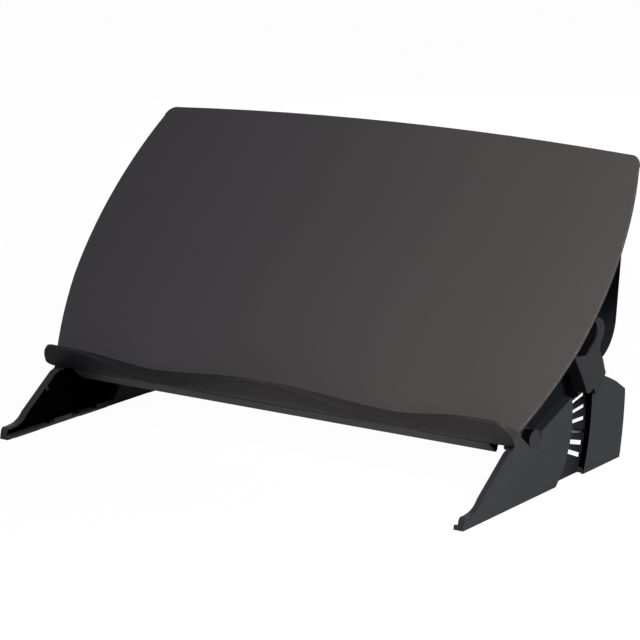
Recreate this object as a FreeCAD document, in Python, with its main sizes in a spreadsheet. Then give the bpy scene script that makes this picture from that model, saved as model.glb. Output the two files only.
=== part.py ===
import FreeCAD, Part
import math
import os

from FreeCAD import Placement, Rotation, Vector

# Document holder with a pencil drawer: a wide writing board on a tilting frame between two legs.
# X runs across the board, Y from the user to the back, Z up. The desk is z = 0.
# Two systems of coordinates are used:
#   the base system:  y counted from the noses of the legs, z from the desk
#   the slope system: s counted up the board from its lower edge, n square to the board's top face

doc = FreeCAD.newDocument("DocumentHolder")

# ---------------------------------------------------------------- driving dimensions
dimensions = {
    # the slope
    "board_angle": 47.4,
    "slope_start_y": 82.5,
    "slope_start_z": 64.7,
    "nose_to_origin": 142.75,
    # the tilt axis and the comb that sets it
    "pivot_y": 114.0,
    "pivot_z": 50.5,
    "comb_pitch": 6.4,
    "comb_first": 10.7,
    "comb_count": 6,
    "comb_slot_width": 3.9,
    "comb_inner_reach": 67.0,
    "comb_outer_reach": 98.4,
    "comb_top": 13.9,
    # the legs
    "leg_outer_x": 244.5,
    "leg_depth": 9.2,
    "leg_wall": 2.4,
    "web_thickness": 1.7,
    "foot_thickness": 0.8,
    # the tubes that tie the legs together
    "tube_radius": 8.0,
    "tube_wall": 1.5,
    "cap_wall": 0.5,
    "rod_radius": 5.0,
    "rod_y": 220.0,
    "rod_z": 31.2,
    # the tilting arms
    "arm_outer_x": 234.7,
    "arm_depth": 8.7,
    "arm_wall": 2.6,
    "hub_radius": 14.0,
    "bush_wall": 2.0,
    "running_gap": 0.05,
    "arm_top_s": 276.0,
    # the board and its ledge
    "board_thickness": 3.0,
    "board_bottom_half": 245.3,
    "board_middle_half": 272.9,
    "board_top_half": 255.9,
    "board_side_height": 266.0,
    "board_crown": 286.3,
    "ledge_half": 249.3,
    "ledge_depth": 13.4,
    "ledge_crest": 22.6,
    "ledge_centre": 23.5,
    "ledge_dip": 7.4,
    "ledge_dip_x": 130.0,
    "ledge_end_x": 215.0,
    "ledge_under": 4.0,
    "flange_under": 5.5,
    # the drawer
    "drawer_half": 221.0,
    "drawer_wall": 1.6,
    "drawer_drop": 20.5,
    "drawer_length": 75.0,
    "drawer_gap": 0.6,
    "runner_length": 82.0,
    # cross members
    "member_depth": 16.0,
    "member_height": 12.0,
    "member_wall": 1.5,
    "front_member_s": 82.0,
    "rear_member_s": 248.0,
    "boss_height": 2.5,
    "boss_radius": 4.0,
    # the levers that lock the tilt
    "lever_outer_x": 262.0,
    "lever_depth": 13.4,
    "lever_wall": 2.2,
    "lever_axis_x": 243.6,
    "lever_axis_n": -13.0,
    "tongue_inner_x": 241.0,
    "pin_radius": 1.6,
    "barrel_radius": 4.2,
    "barrel_start": 104.0,
    "barrel_length": 14.0,
    "spring_length": 6.0,
    "ear_thickness": 3.0,
    "tooth_thickness": 3.2,
    "tooth_inner_reach": 77.0,
    "tooth_outer_reach": 92.0,
    "tooth_gap": 0.3,
    # screws
    "screw_radius": 1.5,
    "screw_head_radius": 3.4,
    "screw_head_height": 2.2,
}

sheet = doc.addObject("Spreadsheet::Sheet", "Dims")
for row, (name, number) in enumerate(dimensions.items(), start=1):
    sheet.set("A%d" % row, name)
    sheet.set("B%d" % row, str(number))
    sheet.setAlias("B%d" % row, name)
doc.recompute()


class Size:
    """A number that remembers the spreadsheet formula it comes from."""

    def __init__(self, number, formula):
        self.number = number
        self.formula = formula

    def __float__(self):
        return float(self.number)

    def join(self, other, sign, number):
        text = other.formula if isinstance(other, Size) else repr(float(other))
        return Size(number, "(%s %s %s)" % (self.formula, sign, text))

    def __add__(self, other):
        return self.join(other, "+", float(self) + float(other))

    def __sub__(self, other):
        return self.join(other, "-", float(self) - float(other))

    def __mul__(self, other):
        return self.join(other, "*", float(self) * float(other))

    def __neg__(self):
        return Size(-float(self), "(-1 * %s)" % self.formula)


class Cells:
    """The spreadsheet's cells by name: as a Size for bindings."""

    def __getattr__(self, name):
        return Size(float(getattr(sheet, name)), "Dims." + name)


class Numbers:
    """The spreadsheet's cells by name: as plain numbers for outlines."""

    def __getattr__(self, name):
        return float(getattr(sheet, name))


cell = Cells()
mm = Numbers()


# ---------------------------------------------------------------- geometry helpers
def slopePoint(s, n):
    """A point of the slope system in the base system."""
    turn = math.radians(mm.board_angle)
    return (mm.slope_start_y + s * math.cos(turn) - n * math.sin(turn),
            mm.slope_start_z + s * math.sin(turn) + n * math.cos(turn))


def basePoint(y, z):
    """A point of the base system in the slope system."""
    turn = math.radians(mm.board_angle)
    dy = y - mm.slope_start_y
    dz = z - mm.slope_start_z
    return (dy * math.cos(turn) + dz * math.sin(turn), -dy * math.sin(turn) + dz * math.cos(turn))


def polarPoint(reach, degrees):
    """A point at a reach from the tilt axis, in the base system; 0 degrees points to the back."""
    turn = math.radians(degrees)
    return (mm.pivot_y + reach * math.cos(turn), mm.pivot_z + reach * math.sin(turn))


def outline(start, *steps):
    """A closed outline. A step is a point, reached by a line, or a pair of points: on an arc, and its end."""
    curves = []
    here = Vector(start[0], start[1], 0)
    for step in steps + (start,):
        if isinstance(step[0], tuple):
            middle = Vector(step[0][0], step[0][1], 0)
            there = Vector(step[1][0], step[1][1], 0)
            curves.append(Part.Arc(here, middle, there))
        else:
            there = Vector(step[0], step[1], 0)
            if here.distanceToPoint(there) < 1e-6:
                continue
            curves.append(Part.LineSegment(here, there))
        here = there
    return curves


def curvesOf(wire):
    """The edges of a flat wire as sketch curves."""
    curves = []
    for edge in wire.OrderedEdges:
        first = edge.valueAt(edge.FirstParameter)
        last = edge.valueAt(edge.LastParameter)
        if edge.Curve.TypeId == "Part::GeomLine":
            curves.append(Part.LineSegment(first, last))
        else:
            middle = edge.valueAt(0.5 * (edge.FirstParameter + edge.LastParameter))
            curves.append(Part.Arc(first, middle, last))
    return curves


def inset(curves, distance):
    """The outline that lies a wall's thickness inside another."""
    wire = Part.Wire(Part.__sortEdges__([curve.toShape() for curve in curves]))
    smaller = Part.Face(wire).makeOffset2D(-distance, 0, False, False, False)
    return curvesOf(smaller.Wires[0])


def rectangle(low, high):
    return outline(low, (high[0], low[1]), high, (low[0], high[1]))


def circle(centre, radius):
    return [Part.Circle(Vector(centre[0], centre[1], 0), Vector(0, 0, 1), radius)]


def polarBlock(reaches, angles):
    """A block between two reaches and two angles about the tilt axis."""
    inner, outer = reaches
    low, high = angles
    middle = 0.5 * (low + high)
    return outline(polarPoint(inner, low), polarPoint(outer, low),
                   (polarPoint(outer, middle), polarPoint(outer, high)),
                   polarPoint(inner, high), (polarPoint(inner, middle), polarPoint(inner, low)))


# ---------------------------------------------------------------- document helpers
def bind(target, name, size):
    """Set a property from a Size, by its formula, or from a plain number."""
    if isinstance(size, Size):
        target.setExpression(name, size.formula)
    else:
        target.setExpression(name, repr(float(size)))


def placeBase(target):
    """Stand an object of the base system in the part's own frame."""
    target.Placement = Placement(Vector(0, -mm.nose_to_origin, 0), Rotation())
    bind(target, "Placement.Base.y", -cell.nose_to_origin)


def placeSlope(target):
    """Lay an object of the slope system in the part's own frame."""
    turn = Rotation(Vector(1, 0, 0), mm.board_angle)
    target.Placement = Placement(Vector(0, mm.slope_start_y - mm.nose_to_origin, mm.slope_start_z), turn)
    bind(target, "Placement.Base.y", cell.slope_start_y - cell.nose_to_origin)
    bind(target, "Placement.Base.z", cell.slope_start_z)
    bind(target, "Placement.Rotation.Angle", cell.board_angle)


def newBody(label, place):
    body = doc.addObject("PartDesign::Body", label)
    body.Label = label
    place(body)
    return body


def sketchOn(body, role, curves, offset):
    """A sketch on one of the body's own origin planes, lifted along the plane's normal."""
    sketch = body.newObject("Sketcher::SketchObject", "Sketch")
    plane = [feature for feature in body.Origin.OriginFeatures if feature.Role == role][0]
    sketch.AttachmentSupport = [(plane, "")]
    sketch.MapMode = "FlatFace"
    sketch.AttachmentOffset = Placement(Vector(0, 0, float(offset)), Rotation())
    bind(sketch, "AttachmentOffset.Base.z", offset)
    sketch.addGeometry(curves, False)
    return sketch


def extrude(body, kind, sketch, length, reverse):
    feature = body.newObject(kind, "Feature")
    feature.Profile = sketch
    feature.Length = float(length)
    bind(feature, "Length", length)
    feature.Reversed = reverse
    doc.recompute()
    body.Tip = feature
    return feature


def addAcross(body, curves, start, end, side=1):
    """Add a side profile between two distances from the middle plane, on the side of the given sign."""
    sketch = sketchOn(body, "YZ_Plane", curves, start if side > 0 else -start)
    return extrude(body, "PartDesign::Pad", sketch, end - start, side < 0)


def cutAcross(body, curves, start, end, side=1):
    """Cut a side profile between two distances from the middle plane."""
    sketch = sketchOn(body, "YZ_Plane", curves, start if side > 0 else -start)
    return extrude(body, "PartDesign::Pocket", sketch, end - start, side > 0)


def addThrough(body, curves, half):
    """Add a side profile from one side to the other, the same distance each way."""
    sketch = sketchOn(body, "YZ_Plane", curves, -half)
    return extrude(body, "PartDesign::Pad", sketch, half * 2, False)


def addUp(body, curves, low, high):
    """Add a plan profile between two heights."""
    sketch = sketchOn(body, "XY_Plane", curves, low)
    return extrude(body, "PartDesign::Pad", sketch, high - low, False)


def cutUp(body, curves, low, high):
    """Cut a plan profile between two heights."""
    sketch = sketchOn(body, "XY_Plane", curves, low)
    return extrude(body, "PartDesign::Pocket", sketch, high - low, True)


def addAlong(body, curves, start, end):
    """Add a front profile (x, height) between two distances up the slope or to the back."""
    sketch = sketchOn(body, "XZ_Plane", curves, -end)
    return extrude(body, "PartDesign::Pad", sketch, end - start, False)


def cutAlong(body, curves, start, end):
    """Cut a front profile (x, height) between two distances up the slope or to the back."""
    sketch = sketchOn(body, "XZ_Plane", curves, -end)
    return extrude(body, "PartDesign::Pocket", sketch, end - start, True)


def cylinder(name, radius, height, position, direction):
    """A bound cylinder whose axis starts at a point and runs in a direction."""
    solid = doc.addObject("Part::Cylinder", name)
    solid.Radius = float(radius)
    solid.Height = float(height)
    bind(solid, "Radius", radius)
    bind(solid, "Height", height)
    solid.Placement = Placement(Vector(*[float(part) for part in position]),
                                Rotation(Vector(0, 0, 1), Vector(*direction)))
    for letter, part in zip("xyz", position):
        bind(solid, "Placement.Base." + letter, part)
    return solid


def cut(label, solid, tool, place):
    result = doc.addObject("Part::Cut", label)
    result.Base = solid
    result.Tool = tool
    result.Label = label
    place(result)
    return result


def fuse(label, solids, place=None):
    result = doc.addObject("Part::MultiFuse", label)
    result.Shapes = solids
    result.Label = label
    if place:
        place(result)
    return result


def group(label, solids, place):
    """Several separate solids that share one node."""
    result = doc.addObject("Part::Compound", label)
    result.Links = solids
    result.Label = label
    place(result)
    return result


def screw(position, direction, length):
    """A hexagon-head screw: the position is the middle of the seat under its head, the shank runs on."""
    step = Vector(*direction)
    head_start = [part - cell.screw_head_height * step[i] if step[i] else part
                  for i, part in enumerate(position)]
    head = doc.addObject("Part::Prism", "Head")
    head.Polygon = 6
    bind(head, "Circumradius", cell.screw_head_radius)
    bind(head, "Height", cell.screw_head_height)
    head.Placement = Placement(Vector(*[float(part) for part in head_start]),
                               Rotation(Vector(0, 0, 1), step))
    for letter, part in zip("xyz", head_start):
        bind(head, "Placement.Base." + letter, part)
    shank = cylinder("Shank", cell.screw_radius, length, position, direction)
    return fuse("Screw", [head, shank])


def point(x, y, z):
    """Three places as Sizes, so that sums with cells keep their formulas."""
    return [part if isinstance(part, Size) else Size(part, repr(float(part))) for part in (x, y, z)]


nodes = []


def node(target):
    nodes.append(target)
    return target


# ---------------------------------------------------------------- the two legs
leg_inner_x = cell.leg_outer_x - cell.leg_depth
leg_skin_x = cell.leg_outer_x - cell.leg_wall
web_outer_x = leg_inner_x + cell.web_thickness
seat_radius = mm.tube_radius + mm.cap_wall + mm.running_gap
leg_clear = 2.5                                   # the board rests this far above the legs' top corners


def legFrontOutline():
    """The front half of a leg: low nose, slanted top edge, open cradle for the tube, round back."""
    low = mm.foot_thickness
    front_side = math.radians(215)
    rear_side = math.radians(-20)
    seat_front = (mm.pivot_y + seat_radius * math.cos(front_side), mm.pivot_z + seat_radius * math.sin(front_side))
    seat_rear = (mm.pivot_y + seat_radius * math.cos(rear_side), mm.pivot_z + seat_radius * math.sin(rear_side))
    under_ledge = -mm.board_thickness - leg_clear
    return outline(
        (0.0, low), (1.2, 7.0), ((2.9, 10.2), (7.5, 10.9)), (15.2, 11.6),
        ((24.0, 14.6), (30.2, 19.9)), (71.6, 49.0), slopePoint(-14.0, under_ledge),
        slopePoint(0.4, under_ledge),
        seat_front, ((mm.pivot_y, mm.pivot_z - seat_radius), seat_rear),
        (125.8, 56.5), (175.3, 73.8), ((176.3, 46.5), (150.0, low)))


def legRearOutline(front):
    """The rear half of a leg. Its front edge is given as two points, at the desk and half way up."""
    low = mm.foot_thickness
    foot, middle = front
    return outline(
        foot, (263.7, low), ((268.9, 28.0), (271.4, 55.0)), (271.2, 61.5),
        (254.8, 71.4), ((244.5, 76.2), (233.4, 80.8)), (210.9, 73.4), (middle, foot))


def skinFront():
    return ((197.9, mm.foot_thickness), (208.9, 42.0))


def wallFront():
    """The wall behind the skin's edge stands back, clear of the comb's slots."""
    reach = mm.comb_outer_reach + 1.2
    drop = mm.pivot_z - mm.foot_thickness
    return ((mm.pivot_y + math.sqrt(reach ** 2 - drop ** 2), mm.foot_thickness), polarPoint(reach, -8.0))


def combOutline():
    """The thin web behind the channel that joins both halves and carries the comb of slots."""
    low = mm.foot_thickness
    return outline(
        (149.0, low), (202.0, low), (polarPoint(mm.comb_outer_reach + 2.4, -8.0),
                                    polarPoint(mm.comb_outer_reach + 2.4, 13.2)),
        polarPoint(62.0, mm.comb_top), ((174.9, 46.5), (149.0, low)))


def makeLeg(label, side):
    body = newBody(label, placeBase)
    front = legFrontOutline()
    rear = legRearOutline(wallFront())
    addAcross(body, front, leg_inner_x, cell.leg_outer_x, side)
    addAcross(body, combOutline(), leg_inner_x, web_outer_x, side)
    addAcross(body, rear, leg_inner_x, leg_skin_x, side)
    addAcross(body, legRearOutline(skinFront()), leg_skin_x, cell.leg_outer_x, side)
    for half in (front, rear):
        cutAcross(body, inset(half, mm.leg_wall), leg_inner_x, leg_skin_x, side)
    # the comb: radial slots, copied about the tilt axis
    low = mm.comb_slot_width / 2
    slot = sketchOn(body, "YZ_Plane",
                    rectangle((mm.comb_inner_reach, -low), (mm.comb_outer_reach, low)),
                    leg_inner_x if side > 0 else -leg_inner_x)
    slot.AttachmentOffset = Placement(
        Vector(mm.pivot_y, mm.pivot_z, side * float(leg_inner_x)),
        Rotation(Vector(0, 0, 1), mm.comb_first))
    bind(slot, "AttachmentOffset.Base.x", cell.pivot_y)
    bind(slot, "AttachmentOffset.Base.y", cell.pivot_z)
    bind(slot, "AttachmentOffset.Rotation.Angle", cell.comb_first)
    first = extrude(body, "PartDesign::Pocket", slot, cell.web_thickness, side > 0)
    comb = body.newObject("PartDesign::PolarPattern", "Comb")
    comb.Originals = [first]
    comb.Axis = (slot, ["N_Axis"])
    comb.Reversed = True
    comb.Angle = mm.comb_pitch * (mm.comb_count - 1)
    comb.Occurrences = int(mm.comb_count)
    bind(comb, "Angle", cell.comb_pitch * (cell.comb_count - 1))
    bind(comb, "Occurrences", cell.comb_count)
    body.Tip = comb
    doc.recompute()
    # posts under the cradle, the socket of the tie rod, and stiffening ribs
    post = mm.leg_wall / 2
    for y in (mm.pivot_y - 12.0, mm.pivot_y + 12.0):
        addAcross(body, rectangle((y - post, mm.foot_thickness + 1), (y + post, mm.pivot_z - 6)),
                  leg_inner_x + 1.5, leg_skin_x, side)
    addAcross(body, rectangle((60.0 - post, mm.foot_thickness + 1), (60.0 + post, 41.0)),
              leg_inner_x + 1.5, leg_skin_x, side)
    socket = mm.rod_radius + 3.0
    addAcross(body, circle((mm.rod_y, mm.rod_z), socket), leg_inner_x, leg_skin_x, side)
    addAcross(body, rectangle((mm.rod_y - post, mm.foot_thickness + 1), (mm.rod_y + post, mm.rod_z)),
              leg_inner_x + 1.5, leg_skin_x, side)
    addAcross(body, rectangle((mm.rod_y - post, mm.rod_z), (mm.rod_y + post, 73.0)),
              leg_inner_x + 1.5, leg_skin_x, side)
    cutAcross(body, circle((mm.rod_y, mm.rod_z), mm.rod_radius + mm.running_gap),
              leg_inner_x, leg_skin_x, side)
    # the screw hole under the cradle
    hole = circle((side * (float(leg_inner_x) + 3.3), mm.pivot_y), mm.screw_radius + mm.running_gap)
    cutUp(body, hole, cell.pivot_z - 16.0, cell.pivot_z - 6.0)
    # snap lugs along the open side
    for y in (66.0, 127.0):
        addAcross(body, rectangle((y, mm.foot_thickness + mm.leg_wall - 0.4), (y + 24.0, 6.0)),
                  leg_inner_x, leg_inner_x + 1.4, side)
    return node(body)


def makeFeet(label, side):
    """Thin rubber pads stuck under the leg."""
    pads = []
    for y, length in ((12.0, 34.0), (104.0, 40.0), (208.0, 46.0)):
        pad = doc.addObject("Part::Box", "Pad")
        pad.Length = float(cell.leg_depth - 2.4)
        pad.Width = length
        pad.Height = mm.foot_thickness
        bind(pad, "Length", cell.leg_depth - 2.4)
        bind(pad, "Height", cell.foot_thickness)
        start = leg_inner_x + 1.2 if side > 0 else -(cell.leg_outer_x - 1.2)
        pad.Placement = Placement(Vector(float(start), y, 0), Rotation())
        bind(pad, "Placement.Base.x", start)
        pads.append(pad)
    return node(group(label, pads, placeBase))


# ---------------------------------------------------------------- what ties the legs together
tube_end_x = cell.leg_outer_x - 2.6


def makeTube():
    start = point(-tube_end_x, cell.pivot_y, cell.pivot_z)
    outer = cylinder("TubeOuter", cell.tube_radius, tube_end_x * 2, start, (1, 0, 0))
    inner = cylinder("TubeInner", cell.tube_radius - cell.tube_wall, tube_end_x * 2, start, (1, 0, 0))
    hollow = doc.addObject("Part::Cut", "TubeHollow")
    hollow.Base = outer
    hollow.Tool = inner
    drills = []
    for side in (-1, 1):
        x = (leg_inner_x + 3.3) * side
        drills.append(cylinder("TubeDrill", cell.screw_radius + cell.running_gap, 12.0,
                               point(x, cell.pivot_y, cell.pivot_z - 12.0), (0, 0, 1)))
    return node(cut("cross_tube", hollow, fuse("TubeDrills", drills), placeBase))


def makeTubeCap(label, side):
    """A cup over the tube's end: its round face shows in the leg's cradle."""
    outer_face = cell.leg_outer_x - 0.2
    length = outer_face - leg_inner_x - 0.1
    cup = cylinder("CapOuter", cell.tube_radius + cell.cap_wall, length,
                   point((outer_face - length) * side, cell.pivot_y, cell.pivot_z), (side, 0, 0))
    bore = cylinder("CapBore", cell.tube_radius + cell.running_gap * 0.5, length - 2.3,
                    point((outer_face - length) * side, cell.pivot_y, cell.pivot_z), (side, 0, 0))
    shell = doc.addObject("Part::Cut", "CapShell")
    shell.Base = cup
    shell.Tool = bore
    x = (leg_inner_x + 3.3) * side
    drill = cylinder("CapDrill", cell.screw_radius + cell.running_gap, 12.0,
                     point(x, cell.pivot_y, cell.pivot_z - 12.0), (0, 0, 1))
    return node(cut(label, shell, drill, placeBase))


def makeTieRod():
    end = cell.leg_outer_x - cell.leg_wall - 0.1
    start = point(-end, cell.rod_y, cell.rod_z)
    rod = cylinder("Rod", cell.rod_radius, end * 2, start, (1, 0, 0))
    return node(group("tie_rod", [rod], placeBase))


def makeTubeScrews():
    screws = []
    for side in (-1, 1):
        seat = point((leg_inner_x + 3.3) * side, cell.pivot_y,
                     cell.pivot_z - (cell.tube_radius + cell.cap_wall + cell.running_gap + cell.leg_wall))
        screws.append(screw(seat, (0, 0, 1), cell.leg_wall + cell.cap_wall + cell.tube_wall + 1.0))
    return node(group("tube_screws", screws, placeBase))


# ---------------------------------------------------------------- the tilting arms
arm_inner_x = cell.arm_outer_x - cell.arm_depth
arm_skin_x = cell.arm_outer_x - cell.arm_wall


def armOutline():
    """A cheek under each end of the board, from the hub at the front to a round heel at the back."""
    heel_y, heel_z, heel_radius = 232.0, 128.6, 38.0
    under_board = -mm.board_thickness
    lean = math.radians(7.5)
    heel_back = (heel_y + heel_radius * math.cos(lean), heel_z - heel_radius * math.sin(lean))
    heel_middle = (heel_y + heel_radius * math.cos(math.radians(45)),
                   heel_z - heel_radius * math.sin(math.radians(45)))
    hub_low = math.radians(-58)
    hub_middle = math.radians(-120)
    return outline(
        slopePoint(0.4, under_board), slopePoint(mm.arm_top_s, under_board),
        slopePoint(mm.arm_top_s, under_board - 19.0), heel_back,
        (heel_middle, (heel_y, heel_z - heel_radius)), (187.0, 80.5),
        (mm.pivot_y + mm.hub_radius * math.cos(hub_low), mm.pivot_z + mm.hub_radius * math.sin(hub_low)),
        ((mm.pivot_y + mm.hub_radius * math.cos(hub_middle),
          mm.pivot_z + mm.hub_radius * math.sin(hub_middle)),
         (mm.pivot_y - mm.hub_radius, mm.pivot_z)))


def slopeBlock(s_range, n_range):
    """A rectangle of the slope system drawn in the base system."""
    s_low, s_high = s_range
    n_low, n_high = n_range
    return outline(slopePoint(s_low, n_low), slopePoint(s_high, n_low),
                   slopePoint(s_high, n_high), slopePoint(s_low, n_high))


rod_reach = math.hypot(mm.rod_y - mm.pivot_y, mm.rod_z - mm.pivot_z)
rod_angle = math.degrees(math.atan2(mm.rod_z - mm.pivot_z, mm.rod_y - mm.pivot_y))
tilt_travel = mm.comb_pitch * mm.comb_count
rod_clear = 0.8
runner_floor = -17.5
member_top = -(mm.board_thickness + mm.boss_height)


def makeArm(label, side):
    body = newBody(label, placeBase)
    edge = armOutline()
    addAcross(body, edge, arm_inner_x, cell.arm_outer_x, side)
    cutAcross(body, inset(edge, mm.arm_wall), arm_inner_x, arm_skin_x, side)
    # hub, ribs that fan out from it, and blocks for the cross members and the runner
    addAcross(body, circle((mm.pivot_y, mm.pivot_z), mm.hub_radius), arm_inner_x, cell.arm_outer_x, side)
    rib = mm.arm_wall / 2
    for target in (slopePoint(130.0, -5.0), slopePoint(200.0, -5.0), (262.0, 150.0)):
        turn = math.atan2(target[1] - mm.pivot_z, target[0] - mm.pivot_y)
        across = (-math.sin(turn) * rib, math.cos(turn) * rib)
        near = (mm.pivot_y + 12 * math.cos(turn), mm.pivot_z + 12 * math.sin(turn))
        addAcross(body, outline((near[0] + across[0], near[1] + across[1]),
                                (target[0] + across[0], target[1] + across[1]),
                                (target[0] - across[0], target[1] - across[1]),
                                (near[0] - across[0], near[1] - across[1])),
                  arm_inner_x + 1.5, arm_skin_x, side)
    for start in (mm.front_member_s, mm.rear_member_s):
        block = slopeBlock((start, start + mm.member_depth), (member_top - 7.0, member_top + 1.5))
        addAcross(body, block, arm_inner_x, arm_skin_x, side)
        lug = slopeBlock((start + 2.0, start + mm.member_depth - 2.0),
                         (member_top - mm.member_wall - 3.0, member_top - mm.member_wall))
        addAcross(body, lug, arm_inner_x - 14.0, arm_inner_x, side)
    for start in (16.0, 58.0):
        addAcross(body, slopeBlock((start, start + 12.0), (runner_floor, -8.5)), arm_inner_x, arm_skin_x, side)
    # the walled slot that the tie rod enters when the board is lowered
    high = rod_angle + tilt_travel + math.degrees((mm.rod_radius + rod_clear) / rod_reach)
    slot_in = rod_reach - mm.rod_radius - rod_clear
    slot_out = rod_reach + mm.rod_radius + rod_clear
    wall = mm.arm_wall
    wall_high = high + math.degrees(wall / rod_reach)
    addAcross(body, polarBlock((mm.comb_inner_reach - 7.0, mm.comb_outer_reach - 4.4), (12.0, 30.0)),
              arm_skin_x, cell.arm_outer_x, side)
    addAcross(body, polarBlock((slot_in - wall, slot_out + wall), (20.5, wall_high)),
              arm_inner_x, arm_skin_x, side)
    cutAcross(body, polarBlock((slot_in, slot_out), (8.0, high)), arm_inner_x, cell.arm_outer_x, side)
    bore = mm.tube_radius + mm.running_gap + mm.bush_wall
    cutAcross(body, circle((mm.pivot_y, mm.pivot_z), bore), arm_inner_x, cell.arm_outer_x, side)
    # two ears outside the arm that carry the lever's pin
    ear_start = mm.barrel_start - mm.ear_thickness
    for start in (ear_start, mm.barrel_start + mm.barrel_length + mm.spring_length):
        ear = slopeBlock((start, start + mm.ear_thickness),
                         (mm.lever_axis_n - mm.barrel_radius, mm.lever_axis_n + mm.barrel_radius))
        addAcross(body, ear, cell.arm_outer_x, cell.lever_axis_x + cell.barrel_radius, side)
    return node(body)


def drillArm(arm, label, side):
    """The pin's hole through both ears and the screws' holes through the lugs."""
    pin_hole = cylinder("PinHole", cell.pin_radius + cell.running_gap, cell.barrel_length + 36.0,
                        point(cell.lever_axis_x * side, cell.barrel_start - 15.0, cell.lever_axis_n),
                        (0, 1, 0))
    holes = [pin_hole]
    for start in (cell.front_member_s, cell.rear_member_s):
        holes.append(cylinder("LugHole", cell.screw_radius + cell.running_gap, 14.0,
                              point((arm_inner_x - 7.0) * side, start + cell.member_depth * 0.5,
                                    -(cell.board_thickness + cell.boss_height + cell.member_wall + 13.0)),
                              (0, 0, 1)))
    tools = fuse(label + "Holes", holes, placeSlope)
    drilled = doc.addObject("Part::Cut", label + "Drilled")
    drilled.Base = arm
    drilled.Tool = tools
    arm.Label = label + "Body"
    drilled.Label = label
    nodes[nodes.index(arm)] = drilled
    return drilled


def makeBush(label, side):
    start = point(arm_inner_x * side, cell.pivot_y, cell.pivot_z)
    outer = cylinder("BushOuter", cell.tube_radius + cell.running_gap + cell.bush_wall,
                     cell.arm_depth, start, (side, 0, 0))
    inner = cylinder("BushInner", cell.tube_radius + cell.running_gap, cell.arm_depth, start, (side, 0, 0))
    return node(cut(label, outer, inner, placeBase))


# ---------------------------------------------------------------- the board
boss_places_x = (-170.0, -56.0, 56.0, 170.0)


def makeBoard():
    """A thin sheet: bowed sides, softly crowned top edge, rounded upper corners."""
    body = newBody("writing_board", placeSlope)
    side = [(mm.board_bottom_half, 0.0), (mm.board_bottom_half + 12.9, 38.0), (mm.board_middle_half - 4.3, 83.0),
            (mm.board_middle_half, 148.0), (mm.board_middle_half - 5.2, 213.0),
            (mm.board_middle_half - 10.7, 242.0), (mm.board_top_half, mm.board_side_height)]
    mirrored = [(-x, y) for x, y in side]
    crown_half = mm.board_top_half - 12.4
    crown_end = mm.board_crown - 8.5
    corner = (mm.board_top_half - 3.3, mm.board_side_height + 8.6)
    curves = outline(
        mirrored[0], side[0], (side[1], side[2]), (side[3], side[4]), (side[5], side[6]),
        (corner, (crown_half, crown_end)), ((0.0, mm.board_crown), (-crown_half, crown_end)),
        ((-corner[0], corner[1]), mirrored[6]), (mirrored[5], mirrored[4]), (mirrored[3], mirrored[2]),
        (mirrored[1], mirrored[0]))
    addUp(body, curves, -cell.board_thickness, cell.board_thickness * 0)
    for s in (mm.front_member_s, mm.rear_member_s):
        rings = []
        for x in boss_places_x:
            middle = s + mm.member_depth / 2
            rings += rectangle((x - mm.boss_radius, middle - mm.boss_radius),
                               (x + mm.boss_radius, middle + mm.boss_radius))
        addUp(body, rings, -(cell.board_thickness + cell.boss_height), -cell.board_thickness)
    holes = []
    for s in (mm.front_member_s, mm.rear_member_s):
        for x in boss_places_x:
            holes += circle((x, s + mm.member_depth / 2), mm.screw_radius + mm.running_gap)
    cutUp(body, holes, -(cell.board_thickness + cell.boss_height), -(cell.board_thickness - 1.6))
    flange_holes = []
    for x in ledge_screw_x:
        flange_holes += circle((x, ledge_screw_s), mm.screw_radius + mm.running_gap)
    cutUp(body, flange_holes, -cell.board_thickness, -(cell.board_thickness - 1.6))
    return node(body)


# ---------------------------------------------------------------- the ledge
ledge_screw_x = (-200.0, -100.0, 0.0, 100.0, 200.0)
ledge_screw_s = 7.0
wave_sections = (0.0, 20.0, 40.0, 60.0, 80.0, 100.0, 120.0, 140.0, 160.0, 180.0, 200.0, 222.0)


def waveShare(x):
    """How far the ledge's edge stands up at a place along it: 1 on a crest, 0 in a dip."""
    dip, end = mm.ledge_dip_x, mm.ledge_end_x
    if abs(x) < dip:
        share = 0.5 * (1 + math.cos(math.pi * abs(x) / dip))
    else:
        share = 0.5 * (1 - math.cos(math.pi * min(1.0, (abs(x) - dip) / (end - dip))))
    return share ** 0.85


def ledgeSection(x):
    """The ledge cut square to X: a thin lip on a crest that twists down into a ramp in a dip."""
    share = waveShare(x)
    crest = mm.ledge_centre if abs(x) < mm.ledge_dip_x else mm.ledge_crest
    high = mm.ledge_dip + (crest - mm.ledge_dip) * share
    fold_share = max(0.0, (share - 0.17) / 0.83)
    fold = (-mm.ledge_depth + 0.3 + 6.2 * fold_share ** 0.7, -0.8 + (crest + 0.3) * fold_share)
    lip = (-3.6, high)
    low = (-mm.ledge_depth + 0.8, -mm.ledge_under)
    bulge = 0.1 + 1.7 * fold_share
    share = 0.64
    front = (fold[0] + (low[0] - fold[0]) * share - 0.9 * bulge, fold[1] + (low[1] - fold[1]) * share - 0.3 * bulge)
    return outline((0.0, -mm.ledge_under), (0.0, 0.0), lip, fold, front, low)


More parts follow.
